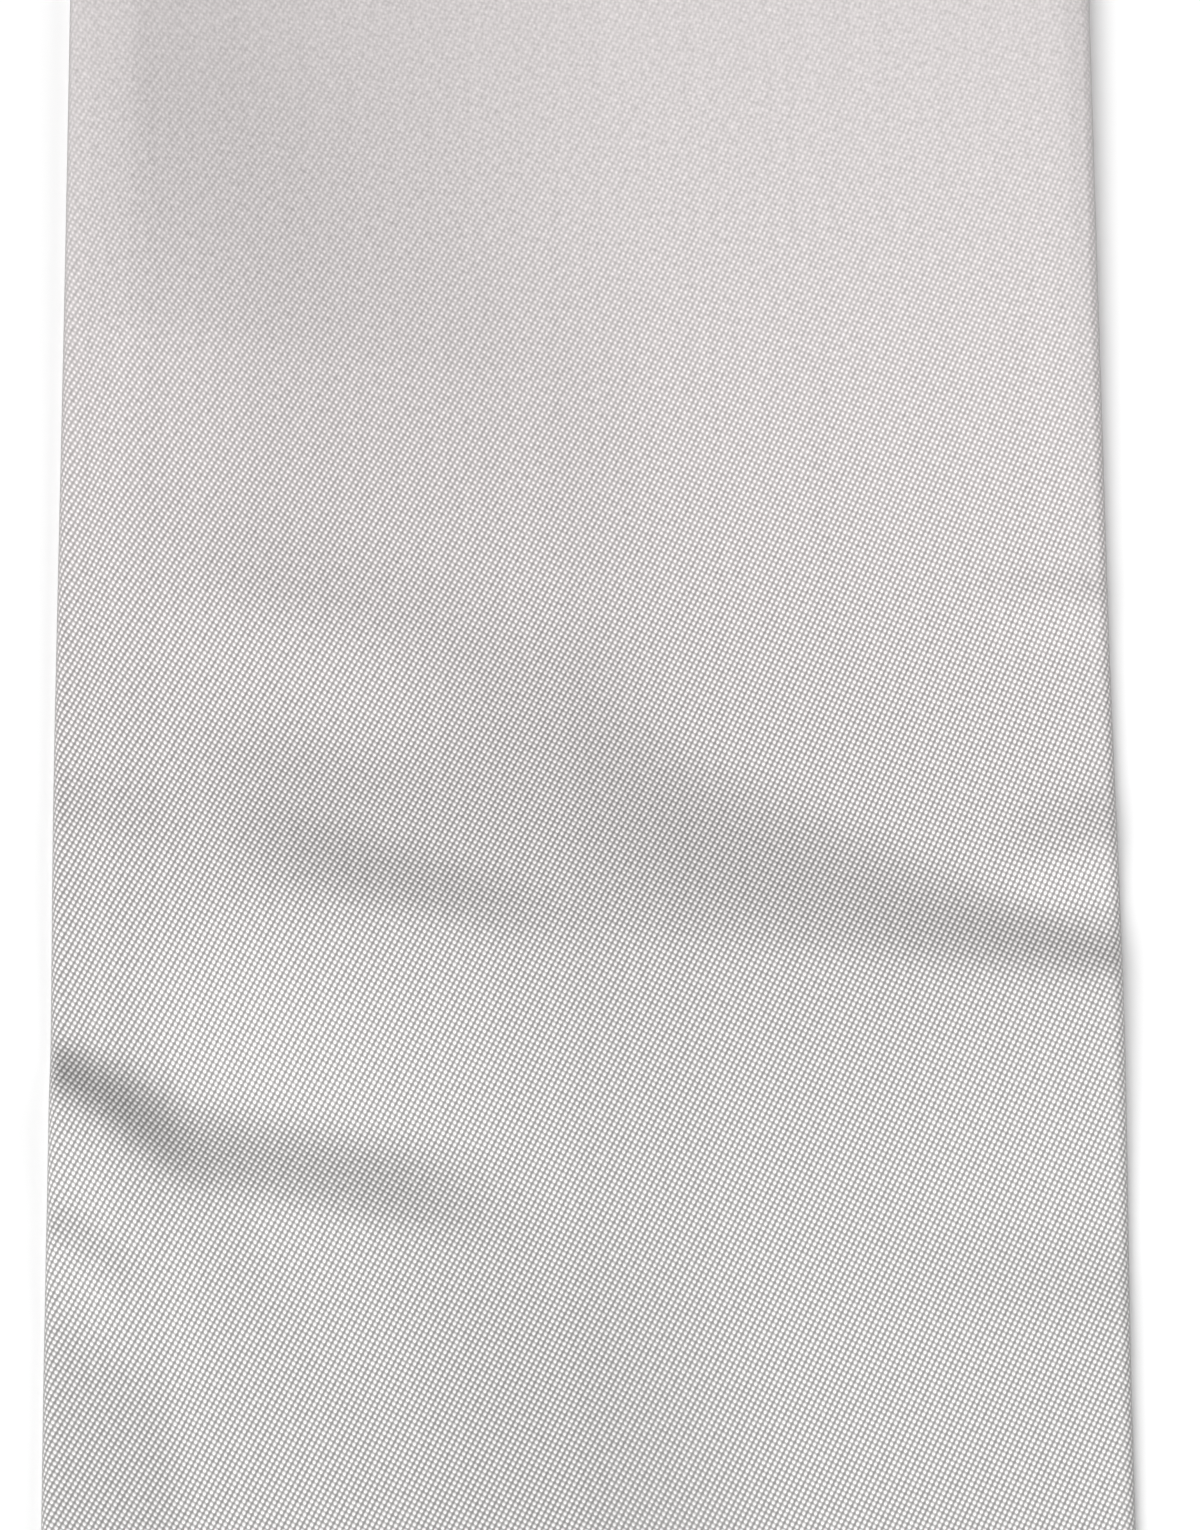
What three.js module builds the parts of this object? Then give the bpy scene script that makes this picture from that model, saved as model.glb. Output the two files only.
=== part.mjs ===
// An evening stole of silver satin, laid out flat at its full length.
// One long rectangle of cloth is folded into a flat tube. The front shows, both long edges are soft folds,
// and the two halves of the back meet in a seam down the centre of the underside.
// Millimetres, +Z up, +Y along the stole and X across it. The origin is on the surface, under its middle.

import * as THREE from "three";

// Driving dimensions of the finished stole
const STOLE_WIDTH = 150;
const STOLE_LENGTH = 1300;
const CLOTH_THICKNESS = 1.2;
const SEAM_GAP = 0.3;

// The folded long edges: how wide and how high the soft rolls are, and how far the front turns under
const ROLL_WIDTH = 2.2;
const ROLL_HEIGHT_LEFT = 3.8;
const ROLL_HEIGHT_RIGHT = 3;
const TURN_UNDER = 7;

// The front between the rolls sags towards the back, most of all on the left of its middle
const MIDDLE_HEIGHT = 2.8;
const SAG_LEFT = -66;
const SAG_CENTRE = -30;
const SAG_RIGHT = 68;

// The sewn ends, where the front comes down on the back
const END_TAPER = 16;
const CLOSED_HEIGHT = 2 * CLOTH_THICKNESS + SEAM_GAP;

// How finely the cloth is divided
const FRONT_COLUMNS = 20;
const BACK_COLUMNS = 2;
const ROLL_STEPS = 4;

// Cross sections along the stole: each span runs from the end of the one before it, in equal steps
const SECTION_SPANS = [
  { end: -STOLE_LENGTH / 2 + END_TAPER, steps: 4 },
  { end: -112, steps: 22 },
  { end: -84, steps: 3 },
  { end: 30, steps: 25 },
  { end: 118, steps: 8 },
  { end: STOLE_LENGTH / 2 - END_TAPER, steps: 22 },
  { end: STOLE_LENGTH / 2, steps: 4 },
];

// Low waves of the whole cloth, which lift front and back together off the surface.
// y: where the crest crosses the middle; slant: how far it runs along the stole for each millimetre across;
// near and far: how far the wave reaches towards -Y and +Y.
const WAVES = [
  { y: -482, slant: -0.1, height: 3.2, near: 80, far: 70 },
  { y: -290, slant: 0.16, height: 5.2, near: 75, far: 100 },
  { y: 238, slant: 0.18, height: 4.6, near: 80, far: 95 },
  { y: 452, slant: -0.14, height: 5.8, near: 105, far: 70 },
];

// Soft creases of the front across the stole, from the near end to the far one. Each pair is at the left
// and the right end of the crest. x, y: where it lies; height: a trough if below 0; far and near: the reach
// of its sides towards +Y and -Y; fade: the share of its length over which it fades out.
const CREASES = [
  { x: [-70, 4], y: [-566, -548], height: [1.6, 2.4], far: [22, 28], near: [30, 34], fade: [0.4, 0.4] },
  { x: [-4, 76], y: [-508, -488], height: [2.6, 1.4], far: [24, 18], near: [38, 30], fade: [0.4, 0.1] },
  { x: [-76, -8], y: [-448, -432], height: [2.8, 1.8], far: [20, 28], near: [36, 40], fade: [0.1, 0.5] },
  { x: [-40, 60], y: [-372, -390], height: [1.7, 2.2], far: [30, 24], near: [34, 30], fade: [0.5, 0.4] },
  { x: [-76, 0], y: [-316, -298], height: [3, 2.4], far: [20, 26], near: [42, 36], fade: [0.1, 0.4] },
  { x: [-4, 76], y: [-270, -292], height: [2.4, 2.8], far: [30, 20], near: [44, 36], fade: [0.4, 0.1] },
  { x: [-68, 26], y: [-206, -188], height: [1.8, 2], far: [24, 30], near: [30, 34], fade: [0.4, 0.4] },
  { x: [14, 76], y: [-160, -150], height: [1.3, 1.7], far: [22, 18], near: [28, 26], fade: [0.5, 0.1] },
  { x: [-46, 30], y: [-122, -126], height: [4.4, 3.8], far: [62, 58], near: [36, 36], fade: [0.4, 0.4] },
  { x: [-76, -24], y: [-120, -122], height: [0.7, 0.6], far: [50, 50], near: [60, 60], fade: [0.05, 0.5] },
  { x: [28, 77], y: [-78, -82], height: [0.2, 0.6], far: [16, 14], near: [40, 38], fade: [0.5, 0.05] },
  { x: [-76, -60], y: [-66, -79], height: [0.9, 0.5], far: [5, 6], near: [14, 14], fade: [0.05, 0.4] },
  { x: [-76, -50], y: [-38, -53], height: [-0.4, -0.5], far: [22, 20], near: [8, 14], fade: [0.05, 0.3] },
  { x: [-76, -52], y: [-46, -65], height: [2.6, 2.6], far: [8, 17], near: [26, 40], fade: [0.05, 0.25] },
  { x: [-58, -4], y: [-61, -73], height: [3, 2.3], far: [14, 14], near: [66, 60], fade: [0.12, 0.5] },
  { x: [30, 77], y: [-32, -33], height: [0.2, 1.2], far: [14, 14], near: [46, 42], fade: [0.5, 0.05] },
  { x: [-76, -54], y: [-8, -16], height: [0.5, 0.6], far: [9, 14], near: [40, 44], fade: [0.05, 0.27] },
  { x: [-59, 6], y: [-15, -31], height: [1.4, 0.9], far: [15, 9], near: [32, 42], fade: [0.42, 0.4] },
  { x: [-68, 16], y: [-20, -26], height: [5, 2.8], far: [66, 46], near: [17, 150], fade: [0.32, 0.24] },
  { x: [-4, 77], y: [-25.5, -32], height: [4.7, 0.7], far: [40, 5], near: [134, 46], fade: [0.247, 0.03] },
  { x: [56, 77], y: [-15, -12], height: [0.4, 1.1], far: [9, 11], near: [7, 12], fade: [0.4, 0.05] },
  { x: [52, 77], y: [26, 24], height: [0.1, 0.4], far: [3, 4], near: [9, 10], fade: [0.4, 0.05] },
  { x: [-68, -8], y: [30, 16], height: [1.8, 2.4], far: [90, 90], near: [26, 22], fade: [0.4, 0.5] },
  { x: [-74, 10], y: [66, 56], height: [4.3, 3.2], far: [56, 116], near: [200, 66], fade: [0.1, 0.45] },
  { x: [-70, 77], y: [214, 150], height: [0.6, 5.8], far: [60, 50], near: [130, 210], fade: [0.5, 0.05] },
  { x: [-74, -6], y: [168, 150], height: [1.9, 1.5], far: [24, 30], near: [36, 30], fade: [0.2, 0.5] },
  { x: [-4, 76], y: [206, 188], height: [1.9, 2.6], far: [28, 20], near: [40, 32], fade: [0.4, 0.1] },
  { x: [-76, 0], y: [222, 246], height: [2.8, 2.2], far: [20, 28], near: [38, 40], fade: [0.1, 0.4] },
  { x: [-30, 64], y: [300, 316], height: [1.6, 2], far: [32, 24], near: [34, 30], fade: [0.5, 0.4] },
  { x: [-76, -8], y: [376, 362], height: [1.9, 1.5], far: [20, 26], near: [32, 34], fade: [0.1, 0.5] },
  { x: [-6, 76], y: [420, 446], height: [2.4, 3], far: [28, 20], near: [40, 36], fade: [0.4, 0.1] },
  { x: [-76, 0], y: [468, 446], height: [2.8, 2.2], far: [22, 28], near: [40, 36], fade: [0.1, 0.4] },
  { x: [-44, 50], y: [536, 524], height: [1.7, 1.5], far: [28, 24], near: [32, 30], fade: [0.5, 0.5] },
  { x: [0, 76], y: [590, 578], height: [1.3, 1.7], far: [20, 18], near: [28, 26], fade: [0.5, 0.1] },
];

// How full a crease stays on its far side, just past the crest
const CREST_ROUNDING = 1.5;

// Lines pressed lengthwise into the front. Each pair is at the near and the far end. y, x: where the line
// lies; height: a groove if below 0; left and right: the reach of its sides towards -X and +X.
const PRESSED_LINES = [
  { y: [-110, -24], x: [-55.5, -59.3], height: [-1.5, -0.8], left: [16, 20], right: [20, 24] },
  { y: [-10, 40], x: [-59.5, -61.5], height: [-1, -1.2], left: [18, 18], right: [24, 30] },
  { y: [14, 116], x: [-61, -65.5], height: [1.2, 3.2], left: [36, 44], right: [30, 36] },
  { y: [-130, 18], x: [-1.2, -2.6], height: [3.3, 1.5], left: [84, 34], right: [28, 22] },
];
const LINE_EASE = 60;

// The folded edges wander a little from straight: a few slow bends along each
const EDGE_BENDS = [
  { side: -1, y: -30, reach: 120, out: 0.35 },
  { side: -1, y: -42, reach: 50, out: -0.3 },
  { side: -1, y: 150, reach: 140, out: -0.15 },
  { side: -1, y: -330, reach: 170, out: -0.45 },
  { side: -1, y: 430, reach: 160, out: 0.4 },
  { side: 1, y: -36, reach: 60, out: 0.5 },
  { side: 1, y: 120, reach: 150, out: -0.3 },
  { side: 1, y: -260, reach: 150, out: 0.4 },
  { side: 1, y: 360, reach: 170, out: -0.45 },
];

const SATIN_COLOUR = 0xcecbc9;
const SATIN_ROUGHNESS = 0.42;

const HALF_LENGTH = STOLE_LENGTH / 2;

// Eases from 0 to 1 as t goes from 0 to 1, level at both ends
function ease(t) {
  return THREE.MathUtils.smoothstep(t, 0, 1);
}

// How far the underside is lifted off the surface
function liftAt(x, y) {
  let lift = 0;
  for (const wave of WAVES) {
    const past = y - wave.y - wave.slant * x;
    lift += wave.height * ease(1 - Math.abs(past) / (past > 0 ? wave.far : wave.near));
  }
  return lift;
}

// Height of one crease of the front, steep on its far side and fading out at both ends
function creaseHeight(crease, x, y) {
  const t = THREE.MathUtils.clamp((x - crease.x[0]) / (crease.x[1] - crease.x[0]), 0, 1);
  const between = (pair) => THREE.MathUtils.lerp(pair[0], pair[1], t);
  const past = y - between(crease.y);
  const far = THREE.MathUtils.clamp(past / between(crease.far), 0, 1);
  const near = THREE.MathUtils.clamp(-past / between(crease.near), 0, 1);
  const sides = (1 - far) ** 2 * (1 + CREST_ROUNDING * far) * ease(1 - near);
  return between(crease.height) * sides * ease(t / crease.fade[0]) * ease((1 - t) / crease.fade[1]);
}

// Height of one line pressed into the front, sharp at its crest and easing out beyond both ends
function lineHeight(line, x, y) {
  const along = (y - line.y[0]) / (line.y[1] - line.y[0]);
  const t = THREE.MathUtils.clamp(along, 0, 1);
  const between = (pair) => THREE.MathUtils.lerp(pair[0], pair[1], t);
  const past = x - THREE.MathUtils.lerp(line.x[0], line.x[1], along);
  const reach = between(past > 0 ? line.right : line.left);
  const beyond = Math.max(line.y[0] - y, y - line.y[1], 0);
  const crest = Math.max(1 - Math.abs(past) / reach, 0) ** 2;
  return between(line.height) * crest * ease(1 - beyond / LINE_EASE);
}

// Top of the front above the underside: level at the rolls, sagging between them, and closed at the ends
function thicknessAt(x, y) {
  const limit = x < SAG_CENTRE ? SAG_LEFT : SAG_RIGHT;
  const roll = x < SAG_CENTRE ? ROLL_HEIGHT_LEFT : ROLL_HEIGHT_RIGHT;
  const sag = ease((x - limit) / (SAG_CENTRE - limit));
  let open = THREE.MathUtils.lerp(roll, MIDDLE_HEIGHT, sag);
  for (const crease of CREASES) {
    open += creaseHeight(crease, x, y);
  }
  for (const line of PRESSED_LINES) {
    open += lineHeight(line, x, y);
  }
  const opened = ease((HALF_LENGTH - Math.abs(y)) / END_TAPER);
  return CLOSED_HEIGHT + (Math.max(open, CLOSED_HEIGHT) - CLOSED_HEIGHT) * opened;
}

// Where a folded edge lies across the stole: side is -1 on the left and 1 on the right
function edgeAt(side, y) {
  let out = STOLE_WIDTH / 2;
  for (const bend of EDGE_BENDS) {
    if (bend.side === side) {
      out += bend.out * ease(1 - Math.abs(y - bend.y) / bend.reach);
    }
  }
  return side * out;
}

// The roll of one edge, half an ellipse from the underside round to the top, outside and inside the wall
function rollPoints(side, y) {
  const centre = edgeAt(side, y) - side * ROLL_WIDTH;
  const half = thicknessAt(centre, y) / 2;
  const points = [];
  for (let step = 0; step <= ROLL_STEPS; step += 1) {
    const turn = Math.PI * (step / ROLL_STEPS - 0.5);
    const across = side * Math.cos(turn);
    const up = Math.sin(turn);
    points.push({
      outer: [centre + across * ROLL_WIDTH, half + up * half],
      inner: [centre + across * (ROLL_WIDTH - CLOTH_THICKNESS), half + up * (half - CLOTH_THICKNESS)],
    });
  }
  return points;
}

// The front's section: turned under on the left, round the left roll, over the top and under on the right
function frontSection(y) {
  const turned = (side) => {
    const x = edgeAt(side, y) - side * TURN_UNDER;
    return { outer: [x, 0], inner: [x, CLOTH_THICKNESS] };
  };
  const start = edgeAt(-1, y) + ROLL_WIDTH;
  const end = edgeAt(1, y) - ROLL_WIDTH;
  const top = [];
  for (let column = 1; column < FRONT_COLUMNS; column += 1) {
    const x = THREE.MathUtils.lerp(start, end, column / FRONT_COLUMNS);
    const height = thicknessAt(x, y);
    top.push({ outer: [x, height], inner: [x, height - CLOTH_THICKNESS] });
  }
  return [turned(-1), ...rollPoints(-1, y), ...top, ...rollPoints(1, y).reverse(), turned(1)];
}

// The section of one half of the back, from beside the turned-under front to the centre seam
function backSection(side, y) {
  const outside = edgeAt(side, y) - side * (TURN_UNDER + SEAM_GAP);
  const seam = side * SEAM_GAP / 2;
  const points = [];
  for (let column = 0; column <= BACK_COLUMNS; column += 1) {
    const x = THREE.MathUtils.lerp(outside, seam, column / BACK_COLUMNS);
    points.push({ outer: [x, CLOTH_THICKNESS], inner: [x, 0] });
  }
  return side < 0 ? points : points.reverse();
}

// Distances along the stole of every section, end to end
function sectionPlaces() {
  const places = [-HALF_LENGTH];
  for (const span of SECTION_SPANS) {
    const start = places[places.length - 1];
    for (let step = 1; step <= span.steps; step += 1) {
      places.push(THREE.MathUtils.lerp(start, span.end, step / span.steps));
    }
  }
  return places;
}

// A closed wall through the sections: its outer and inner faces, its two long rims and its two ends
function wallGeometry(sectionAt) {
  const positions = [];
  const triangles = [];
  const places = sectionPlaces();
  let count = 0;
  for (const y of places) {
    const section = sectionAt(y);
    count = section.length;
    const ring = [...section.map((point) => point.outer), ...section.map((point) => point.inner).reverse()];
    for (const [x, z] of ring) {
      positions.push(x, y, z + liftAt(x, y));
    }
  }
  const size = 2 * count;
  for (let row = 0; row + 1 < places.length; row += 1) {
    for (let index = 0; index < size; index += 1) {
      const a = row * size + index;
      const b = row * size + (index + 1) % size;
      triangles.push(a, b, a + size, b, b + size, a + size);
    }
  }
  const last = (places.length - 1) * size;
  for (let index = 0; index + 1 < count; index += 1) {
    const opposite = size - 1 - index;
    triangles.push(index, opposite, index + 1, index + 1, opposite, opposite - 1);
    triangles.push(last + index, last + index + 1, last + opposite);
    triangles.push(last + index + 1, last + opposite - 1, last + opposite);
  }
  const geometry = new THREE.BufferGeometry();
  geometry.setAttribute("position", new THREE.Float32BufferAttribute(positions, 3));
  geometry.setIndex(triangles);
  geometry.computeVertexNormals();
  return geometry;
}

// One named piece of the satin
function satinPiece(name, sectionAt) {
  const material = new THREE.MeshStandardMaterial({
    color: SATIN_COLOUR,
    roughness: SATIN_ROUGHNESS,
    metalness: 0,
    side: THREE.FrontSide,
  });
  const piece = new THREE.Mesh(wallGeometry(sectionAt), material);
  piece.name = name;
  return piece;
}

const stole = new THREE.Group();
stole.name = "evening_stole";
stole.add(satinPiece("front", frontSection));
stole.add(satinPiece("back_left", (y) => backSection(-1, y)));
stole.add(satinPiece("back_right", (y) => backSection(1, y)));

export default stole;
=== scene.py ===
import math

import bmesh
import bpy
import numpy as np
from mathutils import Matrix, Vector


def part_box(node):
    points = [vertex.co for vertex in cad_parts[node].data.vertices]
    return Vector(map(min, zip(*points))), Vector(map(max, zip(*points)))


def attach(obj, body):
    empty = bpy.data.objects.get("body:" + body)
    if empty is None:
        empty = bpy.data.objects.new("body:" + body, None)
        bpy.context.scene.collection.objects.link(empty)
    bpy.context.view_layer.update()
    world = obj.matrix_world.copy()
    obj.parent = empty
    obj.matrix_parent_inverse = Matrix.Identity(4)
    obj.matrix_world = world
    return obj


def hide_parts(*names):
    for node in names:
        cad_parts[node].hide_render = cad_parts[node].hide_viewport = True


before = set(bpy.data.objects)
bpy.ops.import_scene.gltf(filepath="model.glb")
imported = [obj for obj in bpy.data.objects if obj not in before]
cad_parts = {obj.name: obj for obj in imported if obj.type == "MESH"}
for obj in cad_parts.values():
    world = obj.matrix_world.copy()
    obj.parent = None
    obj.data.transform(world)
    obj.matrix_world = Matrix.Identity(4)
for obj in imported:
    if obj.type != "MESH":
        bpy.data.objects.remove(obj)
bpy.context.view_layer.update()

# The camera: a long lens on a tripod at the near side, looking down on the middle of the stole
# from a little off the vertical, with the cloth's edges just inside the picture.
MM = 0.001
PHOTO_HEIGHT_PX = 1530
LENS_PX = 7110
SENSOR = 36
CAMERA_DISTANCE = 1006.4 * MM
CAMERA_TILT = math.radians(17.76)
CAMERA_ROLL = math.radians(-0.363)
CAMERA_TARGET = Vector((2.2 * MM, 0, 4 * MM))

camera_data = bpy.data.cameras.new("camera")
camera_data.sensor_width = SENSOR
camera_data.lens = SENSOR * LENS_PX / PHOTO_HEIGHT_PX
camera = bpy.data.objects.new("camera", camera_data)
camera_turn = Matrix.Rotation(CAMERA_TILT, 4, "X") @ Matrix.Rotation(CAMERA_ROLL, 4, "Z")
camera_back = Matrix.Translation((0, 0, CAMERA_DISTANCE))
camera.matrix_world = Matrix.Translation(CAMERA_TARGET) @ camera_turn @ camera_back
bpy.context.scene.collection.objects.link(camera)
bpy.context.scene.camera = camera

# The satin: one long rectangle of silk-weight cloth folded into a flat tube, right side out. Its long edges
# are soft unpressed folds, and its raw edges are turned in along the centre of the back and at both ends.
# It lies loosely, in low waves of the whole cloth and soft creases of the front.
front_low, front_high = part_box("front")
HALF_LENGTH = (front_high.y - front_low.y) / 2
HALF_WIDTH = 75 * MM
CLOTH_THICKNESS = 0.4 * MM
ROLL_WIDTH = 2.2 * MM
ROLL_HEIGHT_LEFT, ROLL_HEIGHT_RIGHT = 3.8 * MM, 3 * MM
MIDDLE_HEIGHT = 2.8 * MM
SAG_LEFT, SAG_CENTRE, SAG_RIGHT = -66 * MM, -30 * MM, 68 * MM
END_TAPER = 16 * MM
CLOSED_HEIGHT = 2.7 * MM
END_TURN = 1.3 * MM
SEAM_TURN = 0.7 * MM
SEAM_GAP = 0.2 * MM

# One row for each low wave: where its crest crosses the middle, how far the crest runs along the stole for
# each millimetre across, its height, and its reach towards the near and the far end.
WAVE_COLUMNS = ("y", "slant", "height", "near", "far")
WAVES = (
    (-482, -0.1, 3.2, 80, 70),
    (-290, 0.16, 5.2, 75, 100),
    (238, 0.18, 4.6, 80, 95),
    (452, -0.14, 5.8, 105, 70),
)

# One row for each crease of the front, from the near end to the far one. Each pair is at the crest's left
# and right end: its place across and along, its height (a trough if below 0), the reach of its far and near
# sides, and the share of its length over which it fades out.
CREASE_COLUMNS = ("x", "y", "height", "far", "near", "fade")
CREASES = (
    ((-70, 4), (-566, -548), (1.6, 2.4), (22, 28), (30, 34), (0.4, 0.4)),
    ((-4, 76), (-508, -488), (2.6, 1.4), (24, 18), (38, 30), (0.4, 0.1)),
    ((-76, -8), (-448, -432), (2.8, 1.8), (20, 28), (36, 40), (0.1, 0.5)),
    ((-40, 60), (-372, -390), (1.7, 2.2), (30, 24), (34, 30), (0.5, 0.4)),
    ((-76, 0), (-316, -298), (3, 2.4), (20, 26), (42, 36), (0.1, 0.4)),
    ((-4, 76), (-270, -292), (2.4, 2.8), (30, 20), (44, 36), (0.4, 0.1)),
    ((-68, 26), (-206, -188), (1.8, 2), (24, 30), (30, 34), (0.4, 0.4)),
    ((14, 76), (-160, -150), (1.3, 1.7), (22, 18), (28, 26), (0.5, 0.1)),
    ((-46, 30), (-122, -126), (4.4, 3.8), (62, 58), (36, 36), (0.4, 0.4)),
    ((-76, -24), (-120, -122), (0.7, 0.6), (50, 50), (60, 60), (0.05, 0.5)),
    ((28, 77), (-78, -82), (0.2, 0.6), (16, 14), (40, 38), (0.5, 0.05)),
    ((-76, -60), (-66, -79), (0.9, 0.5), (5, 6), (14, 14), (0.05, 0.4)),
    ((-76, -50), (-38, -53), (-0.4, -0.5), (22, 20), (8, 14), (0.05, 0.3)),
    ((-76, -52), (-46, -65), (2.6, 2.6), (8, 17), (26, 40), (0.05, 0.25)),
    ((-58, -4), (-61, -73), (3, 2.3), (14, 14), (66, 60), (0.12, 0.5)),
    ((30, 77), (-32, -33), (0.2, 1.2), (14, 14), (46, 42), (0.5, 0.05)),
    ((-76, -54), (-8, -16), (0.5, 0.6), (9, 14), (40, 44), (0.05, 0.27)),
    ((-59, 6), (-15, -31), (1.4, 0.9), (15, 9), (32, 42), (0.42, 0.4)),
    ((-68, 16), (-20, -26), (5, 2.8), (66, 46), (17, 150), (0.32, 0.24)),
    ((-4, 77), (-25.5, -32), (4.7, 0.7), (40, 5), (134, 46), (0.247, 0.03)),
    ((56, 77), (-15, -12), (0.4, 1.1), (9, 11), (7, 12), (0.4, 0.05)),
    ((52, 77), (26, 24), (0.1, 0.4), (3, 4), (9, 10), (0.4, 0.05)),
    ((-68, -8), (30, 16), (1.8, 2.4), (90, 90), (26, 22), (0.4, 0.5)),
    ((-74, 10), (66, 56), (4.3, 3.2), (56, 116), (200, 66), (0.1, 0.45)),
    ((-70, 77), (214, 150), (0.6, 5.8), (60, 50), (130, 210), (0.5, 0.05)),
    ((-74, -6), (168, 150), (1.9, 1.5), (24, 30), (36, 30), (0.2, 0.5)),
    ((-4, 76), (206, 188), (1.9, 2.6), (28, 20), (40, 32), (0.4, 0.1)),
    ((-76, 0), (222, 246), (2.8, 2.2), (20, 28), (38, 40), (0.1, 0.4)),
    ((-30, 64), (300, 316), (1.6, 2), (32, 24), (34, 30), (0.5, 0.4)),
    ((-76, -8), (376, 362), (1.9, 1.5), (20, 26), (32, 34), (0.1, 0.5)),
    ((-6, 76), (420, 446), (2.4, 3), (28, 20), (40, 36), (0.4, 0.1)),
    ((-76, 0), (468, 446), (2.8, 2.2), (22, 28), (40, 36), (0.1, 0.4)),
    ((-44, 50), (536, 524), (1.7, 1.5), (28, 24), (32, 30), (0.5, 0.5)),
    ((0, 76), (590, 578), (1.3, 1.7), (20, 18), (28, 26), (0.5, 0.1)),
)

# How full a crease stays on its far side, just past the crest
CREST_ROUNDING = 1.5

# One row for each slow bend of a folded edge: its side, where it is, its reach, and how far it goes out
EDGE_COLUMNS = ("side", "y", "reach", "out")
EDGE_BENDS = (
    (-1, -30, 120, 0.35),
    (-1, -42, 50, -0.3),
    (-1, 150, 140, -0.15),
    (-1, -330, 170, -0.45),
    (-1, 430, 160, 0.4),
    (1, -36, 60, 0.5),
    (1, 120, 150, -0.3),
    (1, -260, 150, 0.4),
    (1, 360, 170, -0.45),
)

# One row for each faint line pressed lengthwise into the front. Each pair is at the line's near and far
# end: its place along and across, its height (a groove if below 0), and the reach of its left and right
# sides. Past both ends it eases out.
LINE_COLUMNS = ("y", "x", "height", "left", "right")
PRESSED_LINES = (
    ((-110, -24), (-55.5, -59.3), (-1.5, -0.8), (16, 20), (20, 24)),
    ((-10, 40), (-59.5, -61.5), (-1, -1.2), (18, 18), (24, 30)),
    ((14, 116), (-61, -65.5), (1.2, 3.2), (36, 44), (30, 36)),
    ((-130, 18), (-1.2, -2.6), (3.3, 1.5), (84, 34), (28, 22)),
)
LINE_EASE = 60


def ease(t):
    t = np.clip(t, 0, 1)
    return t * t * (3 - 2 * t)


def lift_at(x, y):
    lift = 0
    for row in WAVES:
        wave = dict(zip(WAVE_COLUMNS, row))
        past = y / MM - wave["y"] - wave["slant"] * x / MM
        reach = np.where(past > 0, wave["far"], wave["near"])
        lift = lift + wave["height"] * ease(1 - np.abs(past) / reach)
    return lift * MM


def between(pair, t):
    return pair[0] + (pair[1] - pair[0]) * t


def creases_at(x, y):
    height = 0
    for row in CREASES:
        crease = dict(zip(CREASE_COLUMNS, row))
        start, end = crease["x"]
        t = np.clip((x / MM - start) / (end - start), 0, 1)
        past = y / MM - between(crease["y"], t)
        far = np.clip(past / between(crease["far"], t), 0, 1)
        near = np.clip(-past / between(crease["near"], t), 0, 1)
        sides = (1 - far) ** 2 * (1 + CREST_ROUNDING * far) * ease(1 - near)
        ends = ease(t / crease["fade"][0]) * ease((1 - t) / crease["fade"][1])
        height = height + between(crease["height"], t) * sides * ends
    return height * MM


def pressed_lines_at(x, y):
    height = 0
    for row in PRESSED_LINES:
        line = dict(zip(LINE_COLUMNS, row))
        start, end = line["y"]
        along = (y / MM - start) / (end - start)
        t = np.clip(along, 0, 1)
        past = x / MM - between(line["x"], along)
        reach = np.where(past > 0, between(line["right"], t), between(line["left"], t))
        beyond = np.maximum(np.maximum(start - y / MM, y / MM - end), 0)
        crest = np.clip(1 - np.abs(past) / reach, 0, 1) ** 2
        height = height + between(line["height"], t) * crest * ease(1 - beyond / LINE_EASE)
    return height * MM


def thickness_at(x, y):
    limit = np.where(x < SAG_CENTRE, SAG_LEFT, SAG_RIGHT)
    roll = np.where(x < SAG_CENTRE, ROLL_HEIGHT_LEFT, ROLL_HEIGHT_RIGHT)
    sag = ease((x - limit) / (SAG_CENTRE - limit))
    opened = roll - (roll - MIDDLE_HEIGHT) * sag + creases_at(x, y) + pressed_lines_at(x, y)
    opened = np.maximum(opened, CLOSED_HEIGHT)
    return CLOSED_HEIGHT + (opened - CLOSED_HEIGHT) * ease((HALF_LENGTH - np.abs(y)) / END_TAPER)


def edge_at(side, y):
    out = HALF_WIDTH
    for row in EDGE_BENDS:
        bend = dict(zip(EDGE_COLUMNS, row))
        there = np.where(side == bend["side"], bend["out"] * MM, 0)
        out = out + there * ease(1 - np.abs(y / MM - bend["y"]) / bend["reach"])
    return out


# The cut cloth is divided along lines across and along it, closer together on the stretch in the middle.
# Distances across follow the cloth from the centre of the front, round the roll, to the centre of the back.
FRONT_HALF = HALF_WIDTH - ROLL_WIDTH
ROLL_HALF = (ROLL_HEIGHT_LEFT + ROLL_HEIGHT_RIGHT) / 4
ROLL_LENGTH = math.pi * math.hypot(ROLL_WIDTH, ROLL_HALF) / math.sqrt(2)
BACK_HALF = FRONT_HALF - SEAM_TURN - SEAM_GAP / 2
SEAM_LENGTH = SEAM_TURN * math.pi / 2
END_LENGTH = END_TURN * math.pi / 2
ROLL_END = FRONT_HALF + ROLL_LENGTH
BACK_END = ROLL_END + BACK_HALF
ACROSS_STEPS = ((0, FRONT_HALF, 46), (FRONT_HALF, ROLL_END, 10), (ROLL_END, BACK_END, 14),
                (BACK_END, BACK_END + SEAM_LENGTH, 3))
CLOSE_NEAR, CLOSE_FAR = -124 * MM, 130 * MM
END_LINE = HALF_LENGTH - END_TURN
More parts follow.
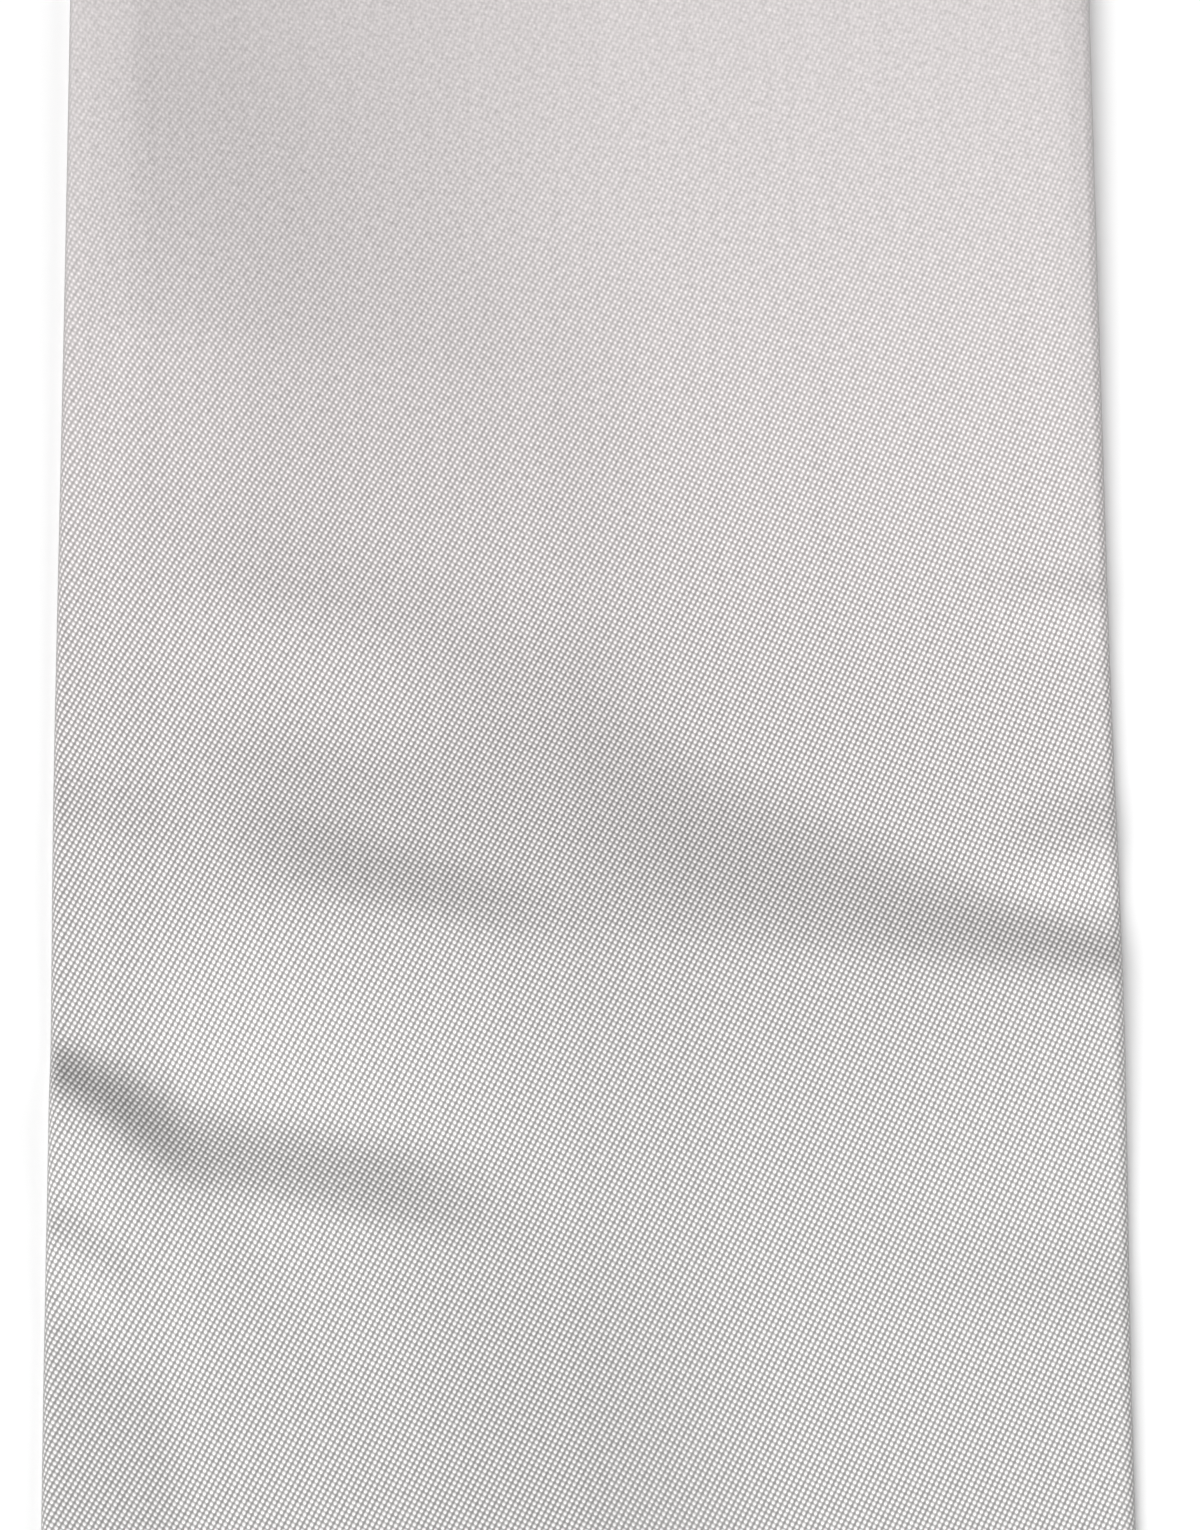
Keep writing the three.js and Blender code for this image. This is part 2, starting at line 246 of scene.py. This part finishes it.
ALONG_STEPS = ((-END_LINE - END_LENGTH, -END_LINE, 4), (-END_LINE, -END_LINE + END_TAPER, 5),
               (-END_LINE + END_TAPER, CLOSE_NEAR, 70), (CLOSE_NEAR, CLOSE_FAR, 146),
               (CLOSE_FAR, END_LINE - END_TAPER, 70), (END_LINE - END_TAPER, END_LINE, 5),
               (END_LINE, END_LINE + END_LENGTH, 4))


def division(spans):
    places = [spans[0][0]]
    for start, end, steps in spans:
        places.extend(np.linspace(start, end, steps + 1)[1:])
    return np.array(places)


half_across = division(ACROSS_STEPS)
across_lines = np.concatenate([-half_across[:0:-1], half_across])
along_lines = division(ALONG_STEPS)

bm = bmesh.new()
bmesh.ops.create_grid(bm, x_segments=len(across_lines) - 1, y_segments=len(along_lines) - 1, size=1)
satin_mesh = bpy.data.meshes.new("satin_tube")
bm.to_mesh(satin_mesh)
bm.free()

flat = np.empty(3 * len(satin_mesh.vertices))
satin_mesh.vertices.foreach_get("co", flat)
flat = flat.reshape(-1, 3)
column = np.rint((flat[:, 0] + 1) / 2 * (len(across_lines) - 1)).astype(int)
line = np.rint((flat[:, 1] + 1) / 2 * (len(along_lines) - 1)).astype(int)
across = across_lines[column]
along = along_lines[line]

# Where each point of the cut cloth lies once it is folded: round the tube, and in at the seam and the ends
side = np.where(across < 0, -1, 1)
distance = np.abs(across)
end_angle = np.clip((np.abs(along) - END_LINE) / END_TURN, 0, math.pi / 2)
y = np.sign(along) * (np.minimum(np.abs(along), END_LINE) + END_TURN * np.sin(end_angle))
depth = END_TURN * (1 - np.cos(end_angle))
roll_centre = edge_at(side, y) - ROLL_WIDTH
roll_half = thickness_at(side * roll_centre, y) / 2
roll_angle = math.pi * (0.5 - np.clip((distance - FRONT_HALF) / ROLL_LENGTH, 0, 1))
seam_angle = np.clip((distance - BACK_END) / SEAM_TURN, 0, math.pi / 2)

front_x = roll_centre * distance / FRONT_HALF
roll_x = roll_centre + np.cos(roll_angle) * (ROLL_WIDTH - depth)
back_share = np.clip((distance - ROLL_END) / BACK_HALF, 0, 1)
seam_centre = SEAM_TURN + SEAM_GAP / 2
back_x = roll_centre + (seam_centre - roll_centre) * back_share - SEAM_TURN * np.sin(seam_angle)
on_front, on_roll = distance <= FRONT_HALF, distance <= ROLL_END
x = side * np.where(on_front, front_x, np.where(on_roll, roll_x, back_x))
front_z = thickness_at(x, y) - depth
roll_z = roll_half + np.sin(roll_angle) * (roll_half - depth)
back_z = np.maximum(depth, SEAM_TURN * (1 - np.cos(seam_angle)))
z = np.where(on_front, front_z, np.where(on_roll, roll_z, back_z)) + lift_at(x, y)
satin_mesh.vertices.foreach_set("co", np.stack([x, y, z], 1).ravel())

# The cloth's own map, in metres along its threads. The weft is bowed: it climbs towards the left edge,
# more so on the far half of the stretch in the middle. Each row has its slope, its curve over the whole
# width, and its further curve towards the left edge.
BOW_NEAR = (0.065, 0.0005, 0.0006)
BOW_FAR = (0.02, 0.0008, 0.00225)
BOW_NEAR_Y, BOW_FAR_Y = -100, 95
BOW_LEFT_START = 20


def weft_bow(x, y):
    t = ease((y / MM - BOW_NEAR_Y) / (BOW_FAR_Y - BOW_NEAR_Y))
    slope, curve, left_curve = (between(pair, t) for pair in zip(BOW_NEAR, BOW_FAR))
    left = np.maximum(-x / MM - BOW_LEFT_START, 0)
    return (slope * x / MM - curve * (x / MM) ** 2 - left_curve * left ** 2) * MM


thread_map = np.stack([across, along + weft_bow(np.clip(across, -HALF_WIDTH, HALF_WIDTH), along)], 1)
corner_vertex = np.empty(len(satin_mesh.loops), dtype=int)
satin_mesh.loops.foreach_get("vertex_index", corner_vertex)
satin_mesh.uv_layers.new(name="threads").data.foreach_set("uv", thread_map[corner_vertex].ravel())
satin_mesh.shade_smooth()

satin = bpy.data.objects.new("satin_tube", satin_mesh)
bpy.context.scene.collection.objects.link(satin)
thickness = satin.modifiers.new("cloth thickness", "SOLIDIFY")
thickness.thickness = CLOTH_THICKNESS
thickness.offset = -1

# Five-end satin: each warp end floats over four wefts, and the floats step across in a slanting lattice.
# Their rounded tops catch the light as small beads with darker gaps between, painted into the colour as
# glints and shade.
# One row for each wave that makes up the lattice: its turns across and along a repeat, and its weight.
THREAD_PITCH = 150 * MM / 468
FLOAT_HARMONICS = (
    (2, -1, 0.45),
    (1, 2, 0.33),
    (3, 1, 0.17),
    (1, -3, 0.09),
)
REPEAT_THREADS = 5
FLOAT_SHARE = 0.46

# Uneven yarn, one row each for its streaks, its slubs and its thicker picks: how many changes a metre there
# are across and along the cloth, and how much the floats vary
YARN_UNEVENNESS = (
    (600, 12, 0.045),
    (2400, 900, 0.26),
    (700, 2200, 0.2),
)
NOISE_MIDDLE = 0.5

# Painted shade along the outermost line of each folded edge, where the floats' glints fade out and the
# darker gaps show
FOLD_LINE = FRONT_HALF + ROLL_LENGTH / 2
FOLD_SHADE_REACH = 0.3 * ROLL_LENGTH
FOLD_SHADE_FLOATS = 0

# One row for each stretch of the stole where the floats' painted glints and gap shade are fainter: its
# middle along the stole, its reach to both sides, and the share of their contrast that is left
FAINT_GLINT_STRETCHES = (
    (-430, 160, 0.5),
    (128, 150, 0.12),
    (470, 150, 0.45),
)
# Painted glints and shade: the float colour is light caught on the float tops, the gap colour is shade
# between them
GAP_SHADE_COLOUR = (0.28, 0.2745, 0.2715, 1)
FLOAT_GLINT_COLOUR = (0.975, 0.958, 0.952, 1)

# The far half of the stole is tinted slightly warmer, which comes in over its middle
WARM_TINT = (1, 0.962, 0.97, 1)
WARM_START, WARM_END = -80 * MM, 68 * MM
SATIN_ROUGHNESS = 0.38
FLOAT_HEIGHT = 0.05 * MM

satin_finish = bpy.data.materials.new("silver_satin")
satin_finish.use_nodes = True
nodes, links = satin_finish.node_tree.nodes, satin_finish.node_tree.links
satin_shader = nodes["Principled BSDF"]
thread_place = nodes.new("ShaderNodeUVMap")
thread_place.uv_map = "threads"


def math_node(operation, *inputs):
    node = nodes.new("ShaderNodeMath")
    node.operation = operation
    for socket, value in zip(node.inputs, inputs):
        if isinstance(value, bpy.types.NodeSocket):
            links.new(value, socket)
        else:
            socket.default_value = value
    return node.outputs[0]


float_glints_and_relief = 0
for warps, wefts, weight in FLOAT_HARMONICS:
    turn = 2 * math.pi / (REPEAT_THREADS * THREAD_PITCH)
    phase = nodes.new("ShaderNodeVectorMath")
    phase.operation = "DOT_PRODUCT"
    links.new(thread_place.outputs["UV"], phase.inputs[0])
    phase.inputs[1].default_value = (warps * turn, wefts * turn, 0)
    wave = math_node("COSINE", phase.outputs["Value"])
    float_glints_and_relief = math_node("MULTIPLY_ADD", wave, weight, float_glints_and_relief)

cloth_place = nodes.new("ShaderNodeTexCoord")
along_place = nodes.new("ShaderNodeSeparateXYZ")
links.new(cloth_place.outputs["Object"], along_place.inputs[0])
# Fainter painted glints and gap shade over some stretches of the stole
for middle, reach, share in FAINT_GLINT_STRETCHES:
    from_middle = math_node("ABSOLUTE", math_node("SUBTRACT", along_place.outputs["Y"], middle * MM))
    glint_fading = nodes.new("ShaderNodeMapRange")
    glint_fading.interpolation_type = "SMOOTHSTEP"
    links.new(from_middle, glint_fading.inputs["Value"])
    glint_fading.inputs["From Max"].default_value = reach * MM
    glint_fading.inputs["To Min"].default_value = share
    float_glints_and_relief = math_node("MULTIPLY", float_glints_and_relief, glint_fading.outputs["Result"])
float_glints_and_relief = math_node("ADD", float_glints_and_relief, FLOAT_SHARE)
for across_rate, along_rate, amount in YARN_UNEVENNESS:
    yarn_place = nodes.new("ShaderNodeVectorMath")
    yarn_place.operation = "MULTIPLY"
    links.new(thread_place.outputs["UV"], yarn_place.inputs[0])
    yarn_place.inputs[1].default_value = (across_rate, along_rate, 0)
    unevenness = nodes.new("ShaderNodeTexNoise")
    unevenness.noise_dimensions = "2D"
    unevenness.inputs["Scale"].default_value = 1
    unevenness.inputs["Detail"].default_value = 1
    links.new(yarn_place.outputs["Vector"], unevenness.inputs["Vector"])
    varied = math_node("SUBTRACT", unevenness.outputs["Fac"], NOISE_MIDDLE)
    float_glints_and_relief = math_node("MULTIPLY_ADD", varied, amount, float_glints_and_relief)

# Painted shade down each folded edge, darkest on its outermost line
across_place = nodes.new("ShaderNodeSeparateXYZ")
links.new(thread_place.outputs["UV"], across_place.inputs[0])
from_fold = math_node("SUBTRACT", math_node("ABSOLUTE", across_place.outputs["X"]), FOLD_LINE)
painted_fold_shade = nodes.new("ShaderNodeMapRange")
painted_fold_shade.interpolation_type = "SMOOTHSTEP"
links.new(math_node("ABSOLUTE", from_fold), painted_fold_shade.inputs["Value"])
painted_fold_shade.inputs["From Max"].default_value = FOLD_SHADE_REACH
painted_fold_shade.inputs["To Min"].default_value = FOLD_SHADE_FLOATS
float_glints_and_relief = math_node("MULTIPLY", float_glints_and_relief, painted_fold_shade.outputs["Result"])

# Painted glints and shade: the lattice goes from the dark gap colour to the bright float colour
painted_glint_colour = nodes.new("ShaderNodeMix")
painted_glint_colour.data_type = "RGBA"
links.new(float_glints_and_relief, painted_glint_colour.inputs["Factor"])
painted_glint_colour.inputs["A"].default_value = GAP_SHADE_COLOUR
painted_glint_colour.inputs["B"].default_value = FLOAT_GLINT_COLOUR
warmth = nodes.new("ShaderNodeMapRange")
warmth.interpolation_type = "SMOOTHSTEP"
links.new(along_place.outputs["Y"], warmth.inputs["Value"])
warmth.inputs["From Min"].default_value = WARM_START
warmth.inputs["From Max"].default_value = WARM_END
satin_colour = nodes.new("ShaderNodeMix")
satin_colour.data_type = "RGBA"
satin_colour.blend_type = "MULTIPLY"
links.new(warmth.outputs["Result"], satin_colour.inputs["Factor"])
links.new(painted_glint_colour.outputs["Result"], satin_colour.inputs["A"])
satin_colour.inputs["B"].default_value = WARM_TINT
links.new(satin_colour.outputs["Result"], satin_shader.inputs["Base Color"])

relief = nodes.new("ShaderNodeBump")
relief.inputs["Distance"].default_value = FLOAT_HEIGHT
links.new(float_glints_and_relief, relief.inputs["Height"])
links.new(relief.outputs["Normal"], satin_shader.inputs["Normal"])
satin_shader.inputs["Roughness"].default_value = SATIN_ROUGHNESS
satin_mesh.materials.append(satin_finish)

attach(satin, "root")
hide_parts("front", "back_left", "back_right")

# The sewing: slip stitches of silver thread. They cross the groove between the turned-in edges down the
# centre of the back, and close both ends between the front and the back.
STITCH_SPACING = 5 * MM
STITCH_RADIUS = 0.12 * MM
SEAM_STITCH_HALF = 0.6 * MM
SEAM_STITCH_HEIGHT = 0.22 * MM
END_STITCH_HALF = 0.5 * MM
END_STITCH_INSET = 0.06 * MM
STITCH_SLANT = math.radians(24)
STITCH_WANDER = 0.5 * MM
SLANT_WANDER = 0.4
STITCH_ROUNDNESS = 2
THREAD_TWIST = 2600
THREAD_SHADE = (0.46, 0.445, 0.44, 1)
THREAD_LIGHT = (0.78, 0.765, 0.755, 1)
THREAD_ROUGHNESS = 0.45

# The hand is uneven: how fast a stitch's place and slant wander from one stitch to the next
SEAM_PLACE_RATE, SEAM_SLANT_RATE = 7.3, 3.7
END_PLACE_RATE, END_SLANT_RATE = 5.9, 4.3

seam_count = int((2 * HALF_LENGTH - 2 * END_TAPER) / STITCH_SPACING)
end_count = int(2 * FRONT_HALF / STITCH_SPACING)
bm = bmesh.new()
for number in range(seam_count):
    wander = STITCH_WANDER * math.sin(SEAM_PLACE_RATE * number)
    stitch_y = (number - (seam_count - 1) / 2) * STITCH_SPACING + wander
    stitch_z = SEAM_STITCH_HEIGHT + float(lift_at(np.float64(0), np.float64(stitch_y)))
    slant_angle = STITCH_SLANT * (1 + SLANT_WANDER * math.sin(SEAM_SLANT_RATE * number))
    slant = Matrix.Rotation(slant_angle, 4, "Z")
    shape = Matrix.Diagonal((SEAM_STITCH_HALF, STITCH_RADIUS, STITCH_RADIUS, 1))
    place = Matrix.Translation((0, stitch_y, stitch_z))
    bmesh.ops.create_icosphere(bm, subdivisions=STITCH_ROUNDNESS, radius=1, matrix=place @ slant @ shape)
for end in (-1, 1):
    for number in range(end_count):
        wander = STITCH_WANDER * math.sin(END_PLACE_RATE * number + end)
        stitch_x = (number - (end_count - 1) / 2) * STITCH_SPACING + wander
        stitch_y = end * (HALF_LENGTH - END_STITCH_INSET)
        slant_angle = STITCH_SLANT * (1 + SLANT_WANDER * math.sin(END_SLANT_RATE * number))
        slant = Matrix.Rotation(slant_angle, 4, "Y")
        shape = Matrix.Diagonal((STITCH_RADIUS, STITCH_RADIUS, END_STITCH_HALF, 1))
        place = Matrix.Translation((stitch_x, stitch_y, CLOSED_HEIGHT / 2))
        bmesh.ops.create_icosphere(bm, subdivisions=STITCH_ROUNDNESS, radius=1,
                                   matrix=place @ slant @ shape)
stitch_mesh = bpy.data.meshes.new("slip_stitches")
bm.to_mesh(stitch_mesh)
bm.free()
stitch_mesh.shade_smooth()
stitches = bpy.data.objects.new("slip_stitches", stitch_mesh)
bpy.context.scene.collection.objects.link(stitches)

thread_finish = bpy.data.materials.new("silver_thread")
thread_finish.use_nodes = True
thread_nodes, thread_links = thread_finish.node_tree.nodes, thread_finish.node_tree.links
thread_shader = thread_nodes["Principled BSDF"]
stitch_place = thread_nodes.new("ShaderNodeTexCoord")
twist = thread_nodes.new("ShaderNodeTexWave")
twist.bands_direction = "DIAGONAL"
twist.inputs["Scale"].default_value = THREAD_TWIST
thread_links.new(stitch_place.outputs["Object"], twist.inputs["Vector"])
thread_colour = thread_nodes.new("ShaderNodeMix")
thread_colour.data_type = "RGBA"
thread_links.new(twist.outputs["Fac"], thread_colour.inputs["Factor"])
thread_colour.inputs["A"].default_value = THREAD_SHADE
thread_colour.inputs["B"].default_value = THREAD_LIGHT
thread_links.new(thread_colour.outputs["Result"], thread_shader.inputs["Base Color"])
thread_shader.inputs["Roughness"].default_value = THREAD_ROUGHNESS
stitch_mesh.materials.append(thread_finish)

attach(stitches, "root")

# The floor: a plain pale studio surface of matt white paint, far wider than the stole that lies on it.
# It belongs to the room, and is no part of the stole.
FLOOR_HALF = 30
FLOOR_COLOUR = (0.95, 0.95, 0.95, 1)
FLOOR_ROUGHNESS = 0.9
bm = bmesh.new()
bmesh.ops.create_grid(bm, x_segments=1, y_segments=1, size=FLOOR_HALF)
floor_mesh = bpy.data.meshes.new("floor")
bm.to_mesh(floor_mesh)
bm.free()
floor = bpy.data.objects.new("floor", floor_mesh)
bpy.context.scene.collection.objects.link(floor)
floor_paint = bpy.data.materials.new("white_studio_floor")
floor_paint.use_nodes = True
floor_shader = floor_paint.node_tree.nodes["Principled BSDF"]
floor_shader.inputs["Base Color"].default_value = FLOOR_COLOUR
floor_shader.inputs["Roughness"].default_value = FLOOR_ROUGHNESS
floor_mesh.materials.append(floor_paint)

# The light: a broad bank of soft lamps far off at the near side and a little to the left, which falls
# evenly on the whole floor. A soft box hangs over the near half, a small fill stands at the right, and the
# pale room adds a little from all round.
BANK_DIRECTION = Vector((-1.5, -3.9, 2.6))
BANK_SPREAD = math.radians(40)
BANK_STRENGTH = 3.95
BOX_SIZE = 1.4
BOX_PLACE = Vector((-0.5, -1.1, 1.5))
BOX_POWER = 9
FILL_SIZE = 0.5
FILL_PLACE = Vector((0.5, 0.12, 0.55))
FILL_POWER = 1.9
ROOM_COLOUR = (1, 1, 1, 1)
ROOM_STRENGTH = 0.1

bank_data = bpy.data.lights.new("lamp_bank", "SUN")
bank_data.angle = BANK_SPREAD
bank_data.energy = BANK_STRENGTH
bank = bpy.data.objects.new("lamp_bank", bank_data)
bank.location = BANK_DIRECTION
bank.rotation_euler = (-BANK_DIRECTION).to_track_quat("-Z", "Y").to_euler()
bpy.context.scene.collection.objects.link(bank)

for name, size, place, power in (("soft_box", BOX_SIZE, BOX_PLACE, BOX_POWER),
                                 ("right_fill", FILL_SIZE, FILL_PLACE, FILL_POWER)):
    soft_data = bpy.data.lights.new(name, "AREA")
    soft_data.size = size
    soft_data.energy = power
    soft_light = bpy.data.objects.new(name, soft_data)
    soft_light.location = place
    soft_light.rotation_euler = (-place).to_track_quat("-Z", "Y").to_euler()
    soft_light.visible_camera = False
    bpy.context.scene.collection.objects.link(soft_light)

room = bpy.data.worlds.new("room")
bpy.context.scene.world = room
room.use_nodes = True
room_shader = room.node_tree.nodes["Background"]
room_shader.inputs["Color"].default_value = ROOM_COLOUR
room_shader.inputs["Strength"].default_value = ROOM_STRENGTH
bpy.context.scene.view_settings.view_transform = "Standard"
